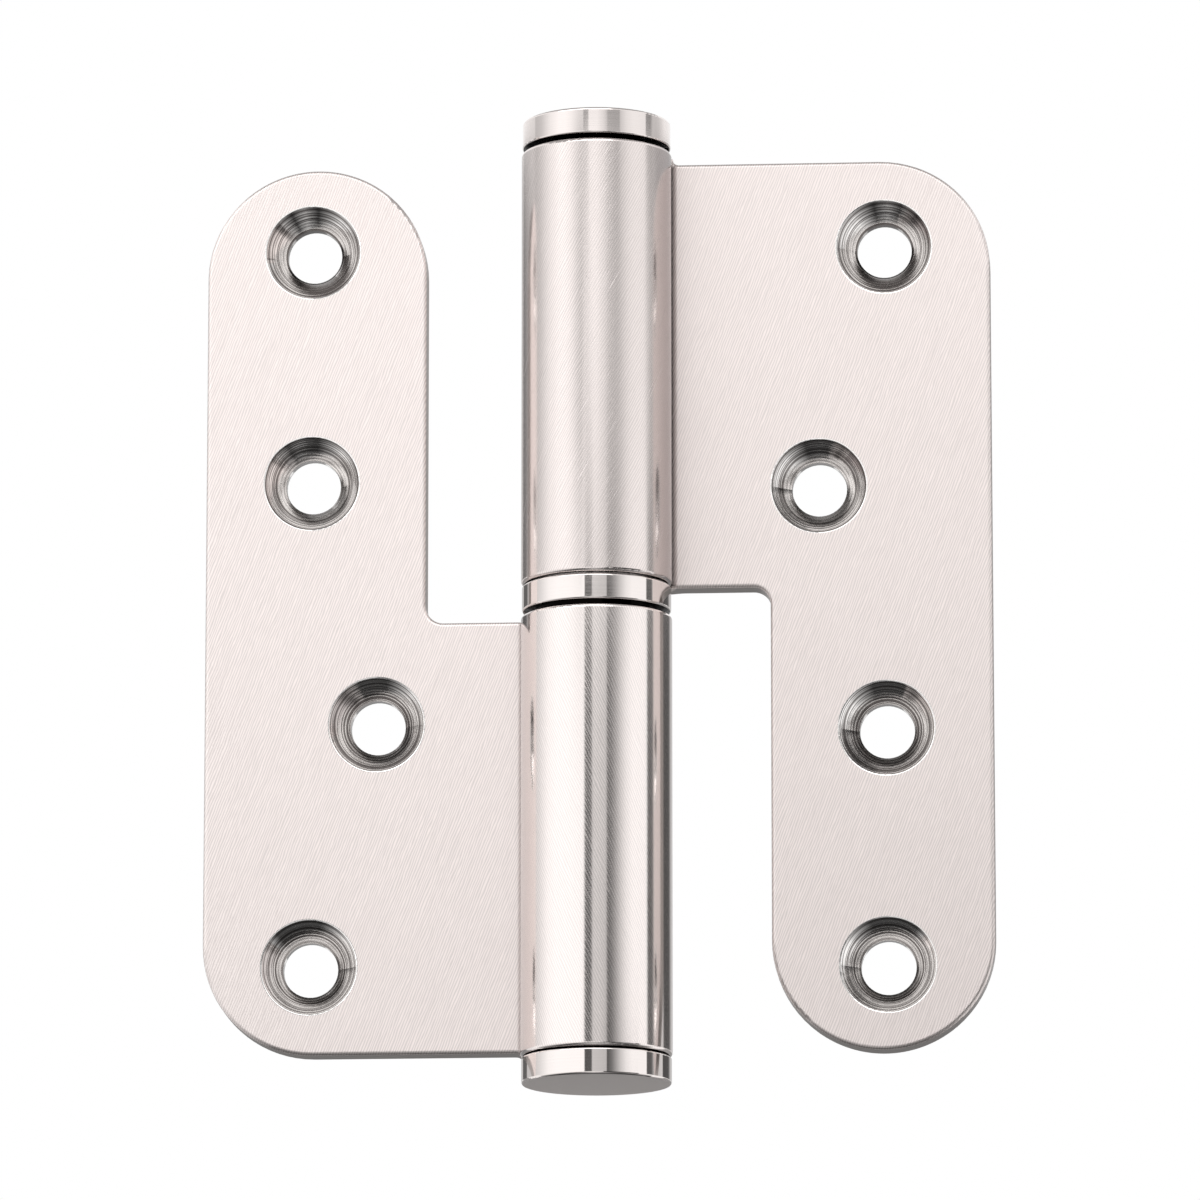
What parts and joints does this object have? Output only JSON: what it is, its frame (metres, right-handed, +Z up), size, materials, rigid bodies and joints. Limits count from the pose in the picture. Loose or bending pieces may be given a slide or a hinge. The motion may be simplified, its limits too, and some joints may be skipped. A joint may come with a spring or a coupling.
{
  "type": "lift-off hinge",
  "caption": "Stainless-steel lift-off hinge with L-shaped leaves, rolled knuckles, a fixed pin, a bearing ring and end caps; the upper leaf swings and lifts off.",
  "frame": {"origin": "on the pin axis, midway between the knuckles, at the middle of the hinge's box", "axes": "+Z up along the pin, towards the leaf that lifts off; -Y out of the countersunk faces; +X from the pin towards the socket leaf, with the hinge opened flat"},
  "size_m": [0.089, 0.017, 0.1102],
  "materials": {
    "brushed_stainless": "satin, with a fine slanting brushed grain",
    "polished_stainless": "turned and polished",
    "turned_stainless": "turned and ground"
  },
  "bodies": {
    "jamb_side": {"pin_leaf": "brushed_stainless", "hinge_pin": "turned_stainless", "bottom_cap": "polished_stainless"},
    "washer": {"bearing_washer": "polished_stainless"},
    "door_side": {"socket_leaf": "brushed_stainless", "top_cap": "polished_stainless"}
  },
  "joints": [
    {"name": "swing", "type": "hinge", "parent": "jamb_side", "child": "washer", "pos_m": [0, 0, 0], "axis": [0, 0, 1], "range_deg": [-180, 145]},
    {"name": "lift_off", "type": "slide", "parent": "washer", "child": "door_side", "axis": [0, 0, 1], "range_m": [0, 0.045]}
  ]
}
